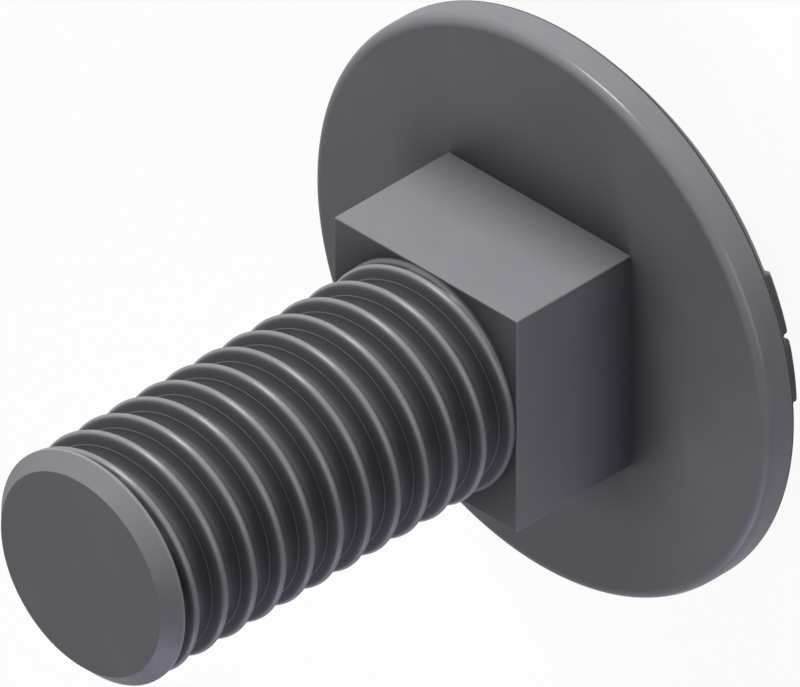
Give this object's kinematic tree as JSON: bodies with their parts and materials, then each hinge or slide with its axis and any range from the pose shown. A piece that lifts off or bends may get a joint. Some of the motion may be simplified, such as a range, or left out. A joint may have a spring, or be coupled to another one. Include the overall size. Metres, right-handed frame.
{
  "type": "self-locking bolt",
  "caption": "Mushroom-head square-neck bolt, M8 x 20, with a domed head, a square neck under it and a right-hand thread up to the neck.",
  "frame": {"origin": "top of the domed head, on the bolt's axis, where the bolt stands on a flat surface", "axes": "+Z along the axis from the head to the threaded tip; +X and +Y square to two flats of the neck"},
  "size_m": [0.02, 0.02, 0.0249],
  "materials": {
    "steel": "satin"
  },
  "bodies": {
    "root": {"bolt": "steel"}
  },
  "joints": []
}
